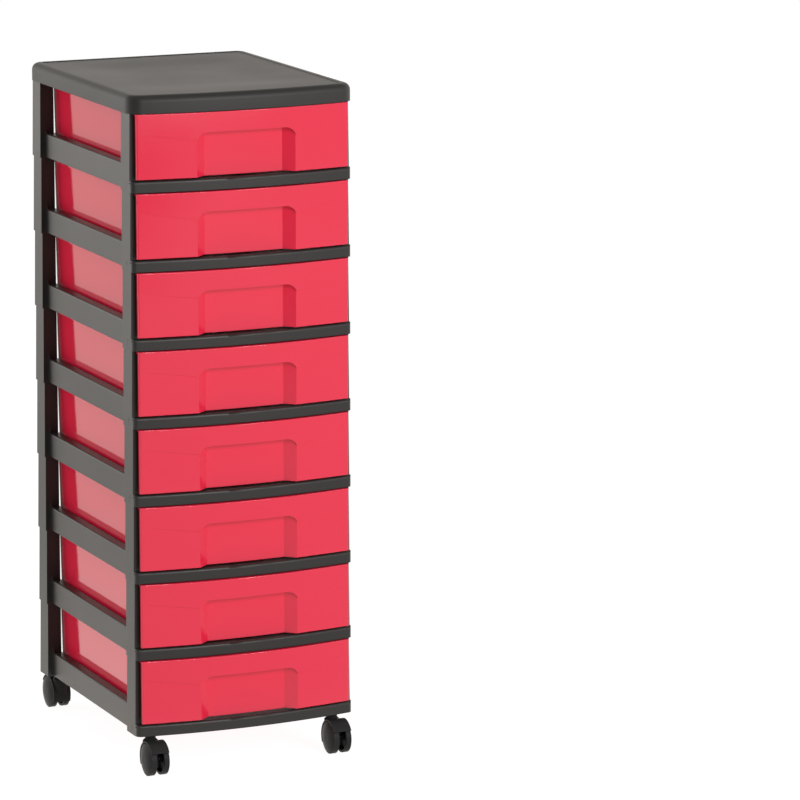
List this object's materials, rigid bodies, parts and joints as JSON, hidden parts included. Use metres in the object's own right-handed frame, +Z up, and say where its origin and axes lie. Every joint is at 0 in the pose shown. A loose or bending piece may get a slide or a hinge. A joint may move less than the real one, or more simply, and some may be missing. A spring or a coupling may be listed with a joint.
{
  "type": "drawer tower",
  "caption": "Slim drawer tower of stacked open frames with bowed pull-out drawers, a dished cover and swivelling twin-wheel casters.",
  "frame": {"origin": "floor level, centre of the tower's bounding box", "axes": "+Z up, -Y towards the drawer fronts, +X to the right of someone facing the drawers"},
  "size_m": [0.306, 0.408, 0.878],
  "materials": {
    "cover_plastic": "satin",
    "frame_plastic": "satin",
    "drawer_plastic": "gloss",
    "caster_plastic": "satin",
    "caster_steel": "bright"
  },
  "bodies": {
    "tower": {"top_cover": "cover_plastic", "frame_1": "frame_plastic", "frame_2": "frame_plastic", "frame_3": "frame_plastic", "frame_4": "frame_plastic", "frame_5": "frame_plastic", "frame_6": "frame_plastic", "frame_7": "frame_plastic", "frame_8": "frame_plastic", "stem_front_left": "caster_steel", "stem_front_right": "caster_steel", "stem_rear_left": "caster_steel", "stem_rear_right": "caster_steel"},
    "drawer_body_1": {"drawer_1": "drawer_plastic"},
    "drawer_body_2": {"drawer_2": "drawer_plastic"},
    "drawer_body_3": {"drawer_3": "drawer_plastic"},
    "drawer_body_4": {"drawer_4": "drawer_plastic"},
    "drawer_body_5": {"drawer_5": "drawer_plastic"},
    "drawer_body_6": {"drawer_6": "drawer_plastic"},
    "drawer_body_7": {"drawer_7": "drawer_plastic"},
    "drawer_body_8": {"drawer_8": "drawer_plastic"},
    "caster_body_front_left": {"housing_front_left": "caster_plastic", "axle_front_left": "caster_steel"},
    "wheel_body_front_left_a": {"wheel_front_left_a": "caster_plastic"},
    "wheel_body_front_left_b": {"wheel_front_left_b": "caster_plastic"},
    "caster_body_front_right": {"housing_front_right": "caster_plastic", "axle_front_right": "caster_steel"},
    "wheel_body_front_right_a": {"wheel_front_right_a": "caster_plastic"},
    "wheel_body_front_right_b": {"wheel_front_right_b": "caster_plastic"},
    "caster_body_rear_left": {"housing_rear_left": "caster_plastic", "axle_rear_left": "caster_steel"},
    "wheel_body_rear_left_a": {"wheel_rear_left_a": "caster_plastic"},
    "wheel_body_rear_left_b": {"wheel_rear_left_b": "caster_plastic"},
    "caster_body_rear_right": {"housing_rear_right": "caster_plastic", "axle_rear_right": "caster_steel"},
    "wheel_body_rear_right_a": {"wheel_rear_right_a": "caster_plastic"},
    "wheel_body_rear_right_b": {"wheel_rear_right_b": "caster_plastic"}
  },
  "joints": [
    {"name": "drawer_slide_1", "type": "slide", "parent": "tower", "child": "drawer_body_1", "axis": [0, -1, 0], "range_m": [0, 0.2979]},
    {"name": "drawer_slide_2", "type": "slide", "parent": "tower", "child": "drawer_body_2", "axis": [0, -1, 0], "range_m": [0, 0.2979]},
    {"name": "drawer_slide_3", "type": "slide", "parent": "tower", "child": "drawer_body_3", "axis": [0, -1, 0], "range_m": [0, 0.2979]},
    {"name": "drawer_slide_4", "type": "slide", "parent": "tower", "child": "drawer_body_4", "axis": [0, -1, 0], "range_m": [0, 0.2979]},
    {"name": "drawer_slide_5", "type": "slide", "parent": "tower", "child": "drawer_body_5", "axis": [0, -1, 0], "range_m": [0, 0.2979]},
    {"name": "drawer_slide_6", "type": "slide", "parent": "tower", "child": "drawer_body_6", "axis": [0, -1, 0], "range_m": [0, 0.2979]},
    {"name": "drawer_slide_7", "type": "slide", "parent": "tower", "child": "drawer_body_7", "axis": [0, -1, 0], "range_m": [0, 0.2979]},
    {"name": "drawer_slide_8", "type": "slide", "parent": "tower", "child": "drawer_body_8", "axis": [0, -1, 0], "range_m": [0, 0.2979]},
    {"name": "swivel_front_left", "type": "hinge", "parent": "tower", "child": "caster_body_front_left", "pos_m": [-0.127, -0.167, 0.044], "axis": [0, 0, 1], "continuous": true},
    {"name": "roll_front_left_a", "type": "hinge", "parent": "caster_body_front_left", "child": "wheel_body_front_left_a", "pos_m": [-0.127, -0.183, 0.021], "axis": [1, 0, 0], "continuous": true},
    {"name": "roll_front_left_b", "type": "hinge", "parent": "caster_body_front_left", "child": "wheel_body_front_left_b", "pos_m": [-0.127, -0.183, 0.021], "axis": [1, 0, 0], "continuous": true},
    {"name": "swivel_front_right", "type": "hinge", "parent": "tower", "child": "caster_body_front_right", "pos_m": [0.127, -0.167, 0.044], "axis": [0, 0, 1], "continuous": true},
    {"name": "roll_front_right_a", "type": "hinge", "parent": "caster_body_front_right", "child": "wheel_body_front_right_a", "pos_m": [0.127, -0.183, 0.021], "axis": [1, 0, 0], "continuous": true},
    {"name": "roll_front_right_b", "type": "hinge", "parent": "caster_body_front_right", "child": "wheel_body_front_right_b", "pos_m": [0.127, -0.183, 0.021], "axis": [1, 0, 0], "continuous": true},
    {"name": "swivel_rear_left", "type": "hinge", "parent": "tower", "child": "caster_body_rear_left", "pos_m": [-0.127, 0.167, 0.044], "axis": [0, 0, 1], "continuous": true},
    {"name": "roll_rear_left_a", "type": "hinge", "parent": "caster_body_rear_left", "child": "wheel_body_rear_left_a", "pos_m": [-0.127, 0.183, 0.021], "axis": [1, 0, 0], "continuous": true},
    {"name": "roll_rear_left_b", "type": "hinge", "parent": "caster_body_rear_left", "child": "wheel_body_rear_left_b", "pos_m": [-0.127, 0.183, 0.021], "axis": [1, 0, 0], "continuous": true},
    {"name": "swivel_rear_right", "type": "hinge", "parent": "tower", "child": "caster_body_rear_right", "pos_m": [0.127, 0.167, 0.044], "axis": [0, 0, 1], "continuous": true},
    {"name": "roll_rear_right_a", "type": "hinge", "parent": "caster_body_rear_right", "child": "wheel_body_rear_right_a", "pos_m": [0.127, 0.183, 0.021], "axis": [1, 0, 0], "continuous": true},
    {"name": "roll_rear_right_b", "type": "hinge", "parent": "caster_body_rear_right", "child": "wheel_body_rear_right_b", "pos_m": [0.127, 0.183, 0.021], "axis": [1, 0, 0], "continuous": true}
  ]
}
